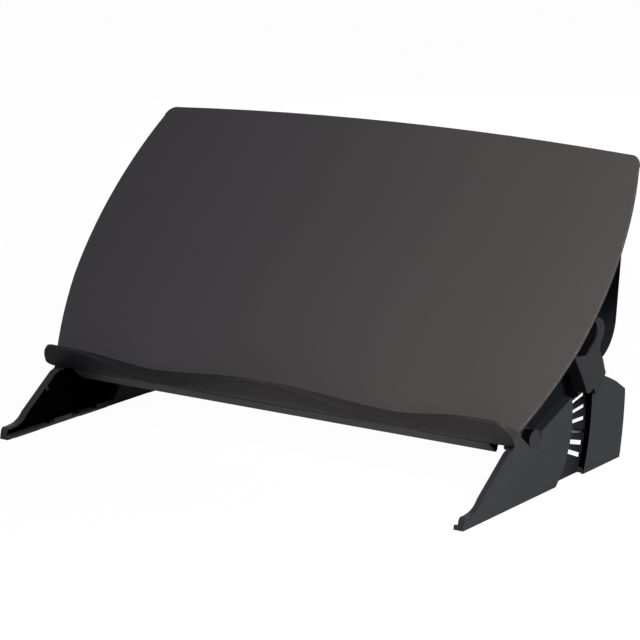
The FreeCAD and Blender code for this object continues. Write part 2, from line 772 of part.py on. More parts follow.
def makeLedge():
    """A moulded shelf square to the board, with a wavy edge to hold papers and let fingers in."""
    body = newBody("document_ledge", placeSlope)
    half = mm.ledge_half
    places = sorted([-x for x in wave_sections if x] + list(wave_sections))
    places = [-half] + places + [half]
    sketches = [sketchOn(body, "YZ_Plane", ledgeSection(x), x) for x in places]
    bind(sketches[0], "AttachmentOffset.Base.z", -cell.ledge_half)
    bind(sketches[-1], "AttachmentOffset.Base.z", cell.ledge_half)
    wave = body.newObject("PartDesign::AdditiveLoft", "Wave")
    wave.Profile = sketches[0]
    wave.Sections = sketches[1:]
    wave.Ruled = False
    doc.recompute()
    body.Tip = wave
    # the ends are rounded, more at the lip than below
    under = mm.ledge_under
    top = mm.ledge_crest
    for side in (-1, 1):
        end = side * half
        outside = side * (half + 3.0)
        upper = outline((side * (half - 9.0), top), ((side * (half - 2.6), top - 2.6), (end, top - 9.0)),
                        (outside, top - 9.0), (outside, top + 4.0), (side * (half - 9.0), top + 4.0))
        lower = outline((side * (half - 6.0), -under),
                        ((side * (half - 1.8), -under + 1.8), (end, -under + 6.0)),
                        (outside, -under + 6.0), (outside, -under - 3.0), (side * (half - 6.0), -under - 3.0))
        cutAlong(body, upper + lower, -20.0, 0.5)
    # the flange under the board stops short of the arms and the runners
    inner = mm.drawer_half - 6.0
    addUp(body, rectangle((-inner, -2.0), (inner, 14.0)), -cell.flange_under, -cell.board_thickness)
    holes = []
    for x in ledge_screw_x:
        holes += circle((x, ledge_screw_s), mm.screw_radius + mm.running_gap)
    cutUp(body, holes, -(cell.flange_under + 1.0), -cell.board_thickness)
    return node(body)


# ---------------------------------------------------------------- the drawer
drawer_top = -(mm.flange_under + mm.drawer_gap)
guide_low, guide_high = -14.6, -12.2


def makeDrawerTray():
    """A shallow pencil tray under the lower part of the board."""
    body = newBody("drawer_tray", placeSlope)
    low = -mm.drawer_drop + 0.5
    side_x = mm.drawer_half
    wall = mm.drawer_wall
    start, end = -9.6, mm.drawer_length
    addUp(body, rectangle((-side_x, start), (side_x, end)), Size(low, repr(low)), Size(drawer_top - 1, repr(drawer_top - 1)))
    inner = rectangle((-side_x + wall, start + wall), (side_x - wall, end - wall))
    cutUp(body, inner, Size(low + wall, repr(low + wall)), Size(0.0, "0"))
    for x in (-75.0 - wall / 2, 75.0 - wall / 2):
        addUp(body, rectangle((x, start + 0.5), (x + wall, end - 0.5)), Size(low + 0.5, repr(low + 0.5)),
              Size(drawer_top - 5, repr(drawer_top - 5)))
    for side in (-1, 1):
        near, far = sorted((side * (side_x - 0.5), side * (side_x + 2.6)))
        guide = rectangle((near, guide_low), (far, guide_high))
        addAlong(body, guide, Size(4.0, "4"), cell.drawer_length)
    return node(body)


def makeDrawerFront():
    """The drawer's front: a strip under the ledge whose lower lip curls back as a finger pull."""
    body = newBody("drawer_front", placeSlope)
    top = -(mm.ledge_under + 0.5)
    low = -mm.drawer_drop
    profile = outline(
        (-12.5, top), (-12.0, low + 1.8),
        ((-11.4, low - 0.1), (-9.9, low - 0.6)), ((-8.2, low - 0.4), (-7.4, low + 0.1)),
        (-7.4, low + 0.45), (-9.65, low + 0.45), (-9.65, -9.0), (-10.4, top))
    addThrough(body, profile, cell.drawer_half)
    return node(body)


def makeRunner(label, side):
    """A grooved rail on the inside of the arm that the drawer's edge slides in."""
    body = newBody(label, placeSlope)
    near = mm.drawer_half + 0.4
    far = float(arm_inner_x)
    start, end = -6.0, -6.0 + mm.runner_length
    low, high = sorted((side * near, side * far))
    addAlong(body, rectangle((low, runner_floor), (high, -8.5)), Size(start, repr(start)),
             Size(start, repr(start)) + cell.runner_length)
    groove_low, groove_high = sorted((side * (near - 1.0), side * (mm.drawer_half + 2.6 + 0.4)))
    cutAlong(body, rectangle((groove_low, guide_low - 0.35), (groove_high, guide_high + 0.35)),
             Size(start - 1, repr(start - 1)), Size(start, repr(start)) + cell.runner_length - 0.0)
    return node(body)


# ---------------------------------------------------------------- cross members
def makeMember(label, start):
    """A folded steel channel from arm to arm, under the board's bosses."""
    body = newBody(label, placeSlope)
    top = member_top
    wall = mm.member_wall
    s_low = float(start)
    s_high = s_low + mm.member_depth
    drop = top - mm.member_height
    profile = outline(
        (s_low, drop), (s_low + wall, drop), (s_low + wall, top - wall), (s_high - wall, top - wall),
        (s_high - wall, drop), (s_high, drop), (s_high, top), (s_low, top))
    addThrough(body, profile, arm_inner_x - 0.2)
    # the side flanges stop short of the arms' lugs
    for side in (-1, 1):
        low, high = sorted((side * (float(arm_inner_x) - 15.0), side * (float(arm_inner_x) + 2.0)))
        cutUp(body, rectangle((low, s_low - 1), (high, s_high + 1)),
              Size(drop - 1, repr(drop - 1)), Size(top - wall, repr(top - wall)))
    holes = []
    for x in boss_places_x + (float(arm_inner_x) - 7.0, -float(arm_inner_x) + 7.0):
        holes += circle((x, s_low + mm.member_depth / 2), mm.screw_radius + mm.running_gap)
    cutUp(body, holes, Size(top - wall - 0.5, repr(top - wall - 0.5)), Size(top + 1, repr(top + 1)))
    return node(body)


def makeSlopeScrews():
    """Screws from below: through the cross members into the board, and through the arms' lugs."""
    board_screws = []
    frame_screws = []
    under_member = -(cell.board_thickness + cell.boss_height + cell.member_wall)
    for start in (cell.front_member_s, cell.rear_member_s):
        middle = start + cell.member_depth * 0.5
        for x in boss_places_x:
            board_screws.append(screw(point(x, middle, under_member), (0, 0, 1), 5.4))
        for side in (-1, 1):
            seat = point((arm_inner_x - 7.0) * side, middle, under_member - 3.0)
            frame_screws.append(screw(seat, (0, 0, 1), 5.5))
    node(group("board_screws", board_screws, placeSlope))
    node(group("frame_screws", frame_screws, placeSlope))
    ledge_screws = [screw(point(x, ledge_screw_s, -cell.flange_under), (0, 0, 1), 3.9)
                    for x in ledge_screw_x]
    node(group("ledge_screws", ledge_screws, placeSlope))


# ---------------------------------------------------------------- the levers that lock the tilt
tongue_inner_x = cell.tongue_inner_x
plate_inner_x = cell.lever_outer_x - cell.lever_depth
rest_notch = mm.comb_first + mm.comb_pitch


def leverOutline():
    """The lever seen from the side: a block over the comb, a waist and a curled finger paddle."""
    return outline(
        slopePoint(82.0, -13.8), slopePoint(76.9, -37.1), slopePoint(72.2, -51.5),
        (slopePoint(72.2, -54.6), slopePoint(74.6, -57.2)), slopePoint(97.6, -69.0),
        (slopePoint(100.6, -69.2), slopePoint(102.5, -66.2)), slopePoint(107.7, -55.5),
        (slopePoint(110.2, -46.4), slopePoint(115.6, -42.0)), slopePoint(121.0, -41.8),
        (slopePoint(129.4, -37.6), slopePoint(130.6, -29.5)),
        (slopePoint(129.2, -24.2), slopePoint(126.4, -21.5)), slopePoint(123.6, -20.6),
        (slopePoint(119.2, -30.6), slopePoint(107.0, -31.4)), slopePoint(94.2, -28.8), slopePoint(83.6, -13.4))


def toothOutline(gap):
    """The blade seen from the side, or its pocket when a gap is given."""
    half = mm.tooth_thickness / 2 + gap
    turn = math.radians(rest_notch)
    across = (-math.sin(turn) * half, math.cos(turn) * half)
    near = polarPoint(mm.tooth_inner_reach - gap, rest_notch)
    far = polarPoint(mm.tooth_outer_reach + gap, rest_notch)
    return outline((near[0] - across[0], near[1] - across[1]), (far[0] - across[0], far[1] - across[1]),
                   (far[0] + across[0], far[1] + across[1]), (near[0] + across[0], near[1] + across[1]))


def makeLever(label, side):
    body = newBody(label, placeBase)
    edge = leverOutline()
    addAcross(body, edge, plate_inner_x, cell.lever_outer_x, side)
    cutAcross(body, inset(edge, mm.lever_wall), plate_inner_x, cell.lever_outer_x - cell.lever_wall, side)
    # the tongue runs down inside the leg's channel and holds the tooth
    tongue = polarBlock((mm.comb_inner_reach + 0.4, mm.tooth_outer_reach + 1.0), (rest_notch - 1.0, 31.0))
    addAcross(body, tongue, tongue_inner_x, plate_inner_x + 1.6, side)
    root = polarBlock((mm.tooth_inner_reach, mm.tooth_outer_reach), (rest_notch + 3.0, 29.0))
    addAcross(body, root, plate_inner_x, cell.lever_outer_x - 1.0, side)
    cutAcross(body, toothOutline(mm.running_gap), tongue_inner_x, plate_inner_x + 1.0, side)
    # the neck under the board, up to the hinge barrel
    s_low, s_high = mm.barrel_start + 0.3, mm.barrel_start + mm.barrel_length - 0.3
    neck = slopeBlock((s_low, s_high), (-22.3, mm.lever_axis_n - 2.0))
    addAcross(body, neck, cell.lever_axis_x - 0.5, plate_inner_x + 4.0, side)
    link = slopeBlock((s_low, s_high), (-36.0, -19.5))
    addAcross(body, link, plate_inner_x - 0.6, plate_inner_x + 4.0, side)
    return node(body)


def finishLever(lever, label, side):
    """The barrel, the pin's bore and the blade's pocket."""
    barrel = cylinder("Barrel", cell.barrel_radius, cell.barrel_length - 0.6,
                      point(cell.lever_axis_x * side, cell.barrel_start + 0.3, cell.lever_axis_n), (0, 1, 0))
    placed = group(label + "Barrel", [barrel], placeSlope)
    whole = fuse(label + "Whole", [lever, placed])
    bore = cylinder("BarrelBore", cell.pin_radius + cell.running_gap, cell.barrel_length + 4.0,
                    point(cell.lever_axis_x * side, cell.barrel_start - 2.0, cell.lever_axis_n), (0, 1, 0))
    tool = group(label + "Bore", [bore], placeSlope)
    drilled = doc.addObject("Part::Cut", label + "Drilled")
    drilled.Base = whole
    drilled.Tool = tool
    lever.Label = label + "Body"
    drilled.Label = label
    nodes[nodes.index(lever)] = drilled
    return drilled


def makeTooth(label, side):
    """A steel blade held in the tongue, just clear of the comb; the lever pushes it in."""
    body = newBody(label, placeBase)
    addAcross(body, toothOutline(0.0), web_outer_x + cell.tooth_gap, plate_inner_x + 1.0, side)
    return node(body)


def makeSpring(label, side):
    """The coils of the torsion spring beside the barrel, with one leg on the arm."""
    start = cell.barrel_start + cell.barrel_length + 0.3
    length = cell.spring_length - 0.6
    coil = cylinder("Coil", cell.pin_radius + 1.6, length,
                    point(cell.lever_axis_x * side, start, cell.lever_axis_n), (0, 1, 0))
    eye = cylinder("CoilEye", cell.pin_radius + 0.3, length,
                   point(cell.lever_axis_x * side, start, cell.lever_axis_n), (0, 1, 0))
    hollow = doc.addObject("Part::Cut", "CoilHollow")
    hollow.Base = coil
    hollow.Tool = eye
    leg = doc.addObject("Part::Box", "SpringLeg")
    bind(leg, "Length", cell.lever_axis_x - cell.arm_outer_x)
    bind(leg, "Width", Size(0.8, "0.8"))
    bind(leg, "Height", Size(0.8, "0.8"))
    left = cell.arm_outer_x if side > 0 else -cell.lever_axis_x
    leg.Placement = Placement(Vector(float(left), float(start) + 1.0, mm.lever_axis_n + mm.pin_radius + 0.6),
                              Rotation())
    bind(leg, "Placement.Base.x", left)
    bind(leg, "Placement.Base.y", start + 1.0)
    bind(leg, "Placement.Base.z", cell.lever_axis_n + cell.pin_radius + 0.6)
    return node(fuse(label, [hollow, leg], placeSlope))


def makePin(label, side):
    length = cell.barrel_length + cell.spring_length + cell.ear_thickness * 2
    pin = cylinder("LeverPin", cell.pin_radius, length,
                   point(cell.lever_axis_x * side, cell.barrel_start - cell.ear_thickness, cell.lever_axis_n),
                   (0, 1, 0))
    return node(group(label, [pin], placeSlope))


# ---------------------------------------------------------------- the assembly
for name, side in (("left", -1), ("right", 1)):
    makeLeg(name + "_leg", side)
    makeFeet(name + "_foot_pads", side)
    makeTubeCap(name + "_tube_cap", side)
    drillArm(makeArm(name + "_arm", side), name + "_arm", side)
    makeBush(name + "_hub_bush", side)
    makeRunner(name + "_drawer_runner", side)
    finishLever(makeLever(name + "_lever", side), name + "_lever", side)
    makeTooth(name + "_tooth", side)
    makePin(name + "_lever_pin", side)
    makeSpring(name + "_lever_spring", side)
makeTube()
makeTubeScrews()
makeTieRod()
makeBoard()
makeLedge()
makeMember("front_member", cell.front_member_s)
makeMember("rear_member", cell.rear_member_s)
makeSlopeScrews()
makeDrawerTray()
makeDrawerFront()
doc.recompute()

# ---------------------------------------------------------------- checks and files
for item in doc.Objects:
    if "Invalid" in item.State or "Error" in item.State:
        raise RuntimeError("%s (%s) did not build: %s" % (item.Name, item.Label, item.State))
for item in nodes:
    if item.Shape.isNull() or not item.Shape.isValid():
        raise RuntimeError("%s has no valid shape" % item.Label)

os.makedirs("parts", exist_ok=True)
whole = Part.makeCompound([item.Shape for item in nodes])
box = whole.BoundBox
print("box x %.1f..%.1f y %.1f..%.1f z %.2f..%.1f" % (
    box.XMin, box.XMax, box.YMin, box.YMax, box.ZMin, box.ZMax))
for item in nodes:
    item.Shape.exportStep(os.path.join("parts", item.Label + ".step"))
    print("%-20s %d solids %10.1f mm3" % (item.Label, len(item.Shape.Solids), item.Shape.Volume))
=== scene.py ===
import math

import bpy
import numpy as np
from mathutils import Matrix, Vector


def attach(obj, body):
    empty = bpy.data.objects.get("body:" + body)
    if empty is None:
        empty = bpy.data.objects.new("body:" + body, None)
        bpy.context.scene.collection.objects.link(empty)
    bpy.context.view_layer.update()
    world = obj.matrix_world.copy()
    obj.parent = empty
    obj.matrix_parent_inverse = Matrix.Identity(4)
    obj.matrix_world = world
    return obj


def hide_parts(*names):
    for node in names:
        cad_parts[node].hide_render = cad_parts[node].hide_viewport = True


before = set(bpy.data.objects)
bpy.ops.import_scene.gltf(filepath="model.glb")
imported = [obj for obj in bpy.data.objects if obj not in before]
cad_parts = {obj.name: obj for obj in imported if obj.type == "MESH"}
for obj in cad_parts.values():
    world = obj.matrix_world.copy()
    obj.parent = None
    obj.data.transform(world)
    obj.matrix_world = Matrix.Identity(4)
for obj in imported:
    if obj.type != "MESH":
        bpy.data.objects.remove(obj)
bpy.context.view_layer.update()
print("frame loaded:", len(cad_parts), "nodes")


# shader maths: sums and products of values add Math nodes
class Shade:
    def __init__(self, tree, socket):
        self.tree = tree
        self.socket = socket

    def maths(self, operation, first, second=0.0):
        return addNode(self.tree, "ShaderNodeMath", {"operation": operation}, {0: first, 1: second})

    def __add__(self, other):
        return self.maths("ADD", self, other)

    __radd__ = __add__

    def __sub__(self, other):
        return self.maths("SUBTRACT", self, other)

    def __rsub__(self, other):
        return self.maths("SUBTRACT", other, self)

    def __mul__(self, other):
        return self.maths("MULTIPLY", self, other)

    __rmul__ = __mul__

    def __truediv__(self, other):
        return self.maths("DIVIDE", self, other)

    def clamped(self):
        return self.maths("MAXIMUM", self.maths("MINIMUM", self, 1.0), 0.0)

    def between(self, low, high):
        # 0 at the low value, 1 at the high value, smooth on the way
        share = ((self - low) / (high - low)).clamped()
        return share * share * (3.0 - 2.0 * share)


def addNode(tree, kind, settings, inputs, output=0):
    made = tree.nodes.new(kind)
    for name, value in settings.items():
        setattr(made, name, value)
    for name, value in inputs.items():
        if isinstance(value, Shade):
            tree.links.new(value.socket, made.inputs[name])
        else:
            made.inputs[name].default_value = value
    return Shade(tree, made.outputs[output])


def linear(red, green, blue):
    # a screen colour, 0 to 255, as the light that it stands for
    shares = np.array([red, green, blue]) / 255.0
    light = np.where(shares <= 0.04045, shares / 12.92, ((shares + 0.055) / 1.055) ** 2.4)
    return tuple(float(part) for part in light) + (1.0,)


def mixed(tree, share, first, second):
    return addNode(tree, "ShaderNodeMix", {"data_type": "RGBA"}, {0: share, 6: first, 7: second}, 2)


def noise(tree, where, scale, detail=3.0):
    return addNode(tree, "ShaderNodeTexNoise", {},
                   {"Vector": where, "Scale": scale, "Detail": detail, "Roughness": 0.55})


def newMaterial(name):
    material = bpy.data.materials.new(name)
    material.use_nodes = True
    tree = material.node_tree
    shader = tree.nodes["Principled BSDF"]
    place = addNode(tree, "ShaderNodeTexCoord", {}, {}, "Object")
    return material, tree, shader, place


def feed(tree, shader, name, value):
    if isinstance(value, Shade):
        tree.links.new(value.socket, shader.inputs[name])
    else:
        shader.inputs[name].default_value = value


def bumped(tree, height, strength, depth):
    return addNode(tree, "ShaderNodeBump", {}, {"Height": height, "Strength": strength, "Distance": depth})


# moulded plastics: fine spark-eroded texture, slight mottling
mouldedFinishes = {
    "legPlastic": {"dark": (34, 36, 39), "light": (41, 44, 47), "rough": 0.52, "grain": 2600.0, "depth": 0.00006,
                   "shine": 0.12},
    # painted shade: a near-black copy for the legs' inner faces, rib sides, channel and cradle
    "legInside": {"dark": (1, 1, 2), "light": (3, 3, 4), "rough": 0.7, "grain": 2600.0, "depth": 0.00006,
                  "shine": 0.0},
    # painted shade: a slightly darker copy for the legs' front-facing edges
    "legRim": {"dark": (32, 34, 37), "light": (38, 41, 44), "rough": 0.55, "grain": 2600.0, "depth": 0.00006,
               "shine": 0.1},
    # painted shade: a dark grey copy for the comb's web, the top edges under the ledge and the cradle's top
    "legWeb": {"dark": (23, 26, 30), "light": (29, 32, 36), "rough": 0.6, "grain": 2600.0, "depth": 0.00006,
               "shine": 0.08},
    # framePlastic carries painted shade: the arms' outer faces darken towards their upper ends
    "framePlastic": {"dark": (21, 23, 26), "light": (27, 30, 33), "rough": 0.6, "grain": 2600.0, "depth": 0.00006,
                     "shine": 0.003, "fades": (0.105, 0.15)},
    # leverPlastic carries painted shade: its inner faces are almost black
    "leverPlastic": {"dark": (27, 29, 31), "light": (33, 35, 37), "rough": 0.48, "grain": 2800.0, "depth": 0.00005,
                     "shine": 0.12, "inside": (0.2602, 0.2612)},
    # ledgePlastic and drawerPlastic carry painted shade: darker and cooler towards the far end
    "ledgePlastic": {"dark": (36, 35, 35), "light": (42, 41, 41), "rough": 0.46, "grain": 3000.0, "depth": 0.00002,
                     "shine": 0.12, "cools": (20, 20, 24)},
    "drawerPlastic": {"dark": (40, 41, 41), "light": (47, 48, 48), "rough": 0.46, "grain": 3000.0, "depth": 0.00002,
                      "shine": 0.12, "cools": (36, 38, 42)},
    "footRubber": {"dark": (16, 16, 17), "light": (24, 24, 25), "rough": 0.85, "grain": 1500.0, "depth": 0.00008,
                   "shine": 0.2},
    # capPlastic carries painted shade: the cap's side, nearer the middle than its end, is almost black
    "capPlastic": {"dark": (40, 42, 45), "light": (48, 50, 54), "rough": 0.5, "grain": 2600.0, "depth": 0.00006,
                   "shine": 0.03, "inside": (0.2430, 0.2440)},
    "darkNylon": {"dark": (36, 37, 40), "light": (44, 45, 48), "rough": 0.45, "grain": 1800.0, "depth": 0.00003,
                  "shine": 0.12},
}
# painted shade colours: near black for inner faces, and for the arms' upper outer faces
innerPaintedShade, upperPaintedShade = (5, 5, 7), (3, 3, 5)
armFace = (0.2335, 0.2345)  # where an arm's outer face begins, from the middle
# across, where the painted shade on the ledge and drawer fronts runs from darkest to none
paintedShadeEnds = (-0.26, 0.06)


def fromMiddle(tree, place):
    across = addNode(tree, "ShaderNodeSeparateXYZ", {}, {0: place}, 0)
    return across.maths("ABSOLUTE", across)


def mouldedPlastic(name):
    size = mouldedFinishes[name]
    material, tree, shader, place = newMaterial(name)
    cloud = noise(tree, place, 24.0)
    grain = noise(tree, place, size["grain"], 2.0)
    colour = mixed(tree, (cloud * 0.8 + grain * 0.35 - 0.08).clamped(), linear(*size["dark"]),
                   linear(*size["light"]))
    if "inside" in size:
        # painted shade: inner faces, which lie nearer the middle than the skin, are almost black
        colour = mixed(tree, fromMiddle(tree, place).between(*size["inside"]), linear(*innerPaintedShade), colour)
    if "cools" in size:
        # painted shade: the front grows darker and cooler towards the far end, away from the lamp
        along = addNode(tree, "ShaderNodeSeparateXYZ", {}, {0: place}, 0)
        colour = mixed(tree, along.between(*paintedShadeEnds), linear(*size["cools"]), colour)
    if "fades" in size:
        # painted shade: the arms' outer faces grow darker towards their upper ends, under the board
        height = addNode(tree, "ShaderNodeSeparateXYZ", {}, {0: place}, 2)
        outer = fromMiddle(tree, place).between(*armFace)
        colour = mixed(tree, height.between(*size["fades"]) * outer, colour, linear(*upperPaintedShade))
    feed(tree, shader, "Base Color", colour)
    feed(tree, shader, "Specular IOR Level", size["shine"])
    feed(tree, shader, "Roughness", size["rough"] + (cloud - 0.5) * 0.12 + (grain - 0.5) * 0.08)
    feed(tree, shader, "Normal", bumped(tree, grain, 0.6, size["depth"]))
    return material


# metals: drawn tube, zinc-plated screws, black powder coat
steelFinishes = {
    "satinSteel": {"dark": (140, 143, 148), "light": (178, 181, 185), "rough": 0.32},
    "zincSteel": {"dark": (160, 162, 164), "light": (196, 197, 199), "rough": 0.28},
}
coatFinishes = {
    "boardCoat": {"dark": (64, 62, 62), "light": (70, 68, 68), "rough": 0.6, "shine": 0.02},
    # painted highlight: a pale, shiny finish for the board's bevelled edge
    "boardEdge": {"dark": (214, 210, 204), "light": (232, 228, 222), "rough": 0.35, "shine": 0.5},
    "blackCoat": {"dark": (12, 12, 14), "light": (18, 18, 20), "rough": 0.5, "shine": 0.2},
}
# painted shade: the board darker and cooler towards its far end
boardPaintedShade = {"colour": (54, 56, 62), "share": 0.5, "ends": (-0.3, 0.3)}


def drawnSteel(name):
    size = steelFinishes[name]
    material, tree, shader, place = newMaterial(name)
    lines = addNode(tree, "ShaderNodeVectorMath", {"operation": "MULTIPLY"}, {0: place, 1: (6.0, 900.0, 900.0)})
    streaks = noise(tree, lines, 1.0, 4.0)
    cloud = noise(tree, place, 40.0)
    feed(tree, shader, "Base Color", mixed(tree, (streaks * 0.7 + cloud * 0.3).clamped(), linear(*size["dark"]),
                                           linear(*size["light"])))
    feed(tree, shader, "Metallic", 1.0)
    feed(tree, shader, "Roughness", size["rough"] + (streaks - 0.5) * 0.2)
    feed(tree, shader, "Normal", bumped(tree, streaks, 0.3, 0.00003))
    return material


def powderCoat(name):
    size = coatFinishes[name]
    material, tree, shader, place = newMaterial(name)
    peel = noise(tree, place, 900.0, 2.0)
    cloud = noise(tree, place, 7.0)
    along = addNode(tree, "ShaderNodeSeparateXYZ", {}, {0: place}, 0)
    colour = mixed(tree, (cloud * 0.8 + peel * 0.3 - 0.05).clamped(), linear(*size["dark"]), linear(*size["light"]))
    # painted shade: darker and cooler towards the end that lies away from the lamp
    paintedShadeColour = mixed(tree, boardPaintedShade["share"], colour, linear(*boardPaintedShade["colour"]))
    colour = mixed(tree, along.between(*boardPaintedShade["ends"]), paintedShadeColour, colour)
    feed(tree, shader, "Base Color", colour)
    feed(tree, shader, "Specular IOR Level", size["shine"])
    feed(tree, shader, "Roughness", size["rough"] + (peel - 0.5) * 0.06 + (cloud - 0.5) * 0.08)
    feed(tree, shader, "Normal", bumped(tree, peel, 0.35, 0.00004))
    return material


finishes = {name: mouldedPlastic(name) for name in mouldedFinishes}
finishes.update({name: powderCoat(name) for name in coatFinishes})
finishes.update({name: drawnSteel(name) for name in steelFinishes})
print("finishes made:", len(finishes))

nodeFinish = {
    "writing_board": "boardCoat", "document_ledge": "ledgePlastic", "drawer_front": "drawerPlastic",
    "drawer_tray": "framePlastic", "cross_tube": "satinSteel", "tie_rod": "satinSteel",
    "front_member": "blackCoat", "rear_member": "blackCoat",
}
endFinish = [("_leg", "legPlastic"), ("_lever", "leverPlastic"), ("_arm", "framePlastic"),
             ("_foot_pads", "footRubber"), ("_hub_bush", "darkNylon"), ("_tube_cap", "capPlastic"),
             ("_runner", "framePlastic"), ("_screws", "zincSteel"), ("_tooth", "zincSteel"),
             ("_lever_pin", "zincSteel"), ("_spring", "zincSteel")]
for name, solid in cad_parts.items():
    finish = nodeFinish.get(name) or [f for end, f in endFinish if name.endswith(end)][0]
    solid.data.materials.clear()
    solid.data.materials.append(finishes[finish])
print("frame nodes finished")

# places: the board's slope and the tilt axis, as in the CAD
slope = {"angle": math.radians(47.4), "y": -0.06025, "z": 0.0647}


def slopeToFrame(along, above):
    # along runs up the board, above stands square to it
    cosine, sine = math.cos(slope["angle"]), math.sin(slope["angle"])
    return slope["y"] + along * cosine - above * sine, slope["z"] + along * sine + above * cosine


def ringMesh(name, rings, extra=()):
    # rings: (count, points, 3) of closed loops; quads join each to the next, and the two end loops are filled
    count, points = rings.shape[:2]
    grid = np.arange(count * points).reshape(count, points)
    quads = np.stack([grid[:-1], grid[1:], np.roll(grid, -1, 1)[1:], np.roll(grid, -1, 1)[:-1]], -1).reshape(-1, 4)
    faces = quads.tolist() + [grid[0].tolist(), grid[-1, ::-1].tolist()]
    vertices = [rings.reshape(-1, 3)]
    start = count * points
    for corners, sides in extra:
        vertices.append(corners)
        faces += (np.array(sides) + start).tolist()
        start += len(corners)
    mesh = bpy.data.meshes.new(name)
    mesh.from_pydata(np.concatenate(vertices).tolist(), [], faces)
    return mesh


def finishPiece(name, mesh, finish, body, crease, replaced=()):
    mesh.polygons.foreach_set("use_smooth", [True] * len(mesh.polygons))
    mesh.set_sharp_from_angle(angle=math.radians(crease))
    mesh.materials.append(finishes[finish])
    piece = bpy.data.objects.new(name, mesh)
    bpy.context.scene.collection.objects.link(piece)
    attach(piece, body)
    if replaced:
        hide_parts(*replaced)
    return piece


def roundedCorners(corners, reach, steps):
    # each corner becomes the curve (1-t)^2 A + 2t(1-t) P + t^2 B between points on its two sides;
    # corners: (count, corners, 2), reach: how far down the sides the curve starts
    before = np.roll(corners, 1, 1) - corners
    after = np.roll(corners, -1, 1) - corners
    longBefore = np.linalg.norm(before, axis=2, keepdims=True)
    longAfter = np.linalg.norm(after, axis=2, keepdims=True)
    reach = np.array(reach)[None, :, None]
    first = corners + before / longBefore * np.minimum(reach, 0.45 * longBefore)
    last = corners + after / longAfter * np.minimum(reach, 0.45 * longAfter)
    t = np.linspace(0.0, 1.0, steps)[None, None, :, None]
    curve = (1 - t) ** 2 * first[:, :, None] + 2 * t * (1 - t) * corners[:, :, None] + t ** 2 * last[:, :, None]
    return curve.reshape(corners.shape[0], -1, 2)


# the document ledge: a lip that twists down into two dips, round ends, a flange under the board
ledge = {"half": 0.2493, "dipAt": 0.130, "crestAt": 0.215, "crest": 0.0226, "centre": 0.0235, "dip": 0.0074,
         "under": 0.004, "depth": 0.0134, "endWidth": 0.016, "endWaist": 0.003, "endFoot": 0.006, "endRound": 0.0012,
         "lip": 0.0036, "soften": (0.0005, 0.0004, 0.0009, 0.004, 0.0017, 0.009, 0.0012), "cornerSteps": 8,
         "flange": 0.215, "flangeLow": 0.0055, "flangeTop": 0.003, "flangeDepth": 0.014, "stations": 260}


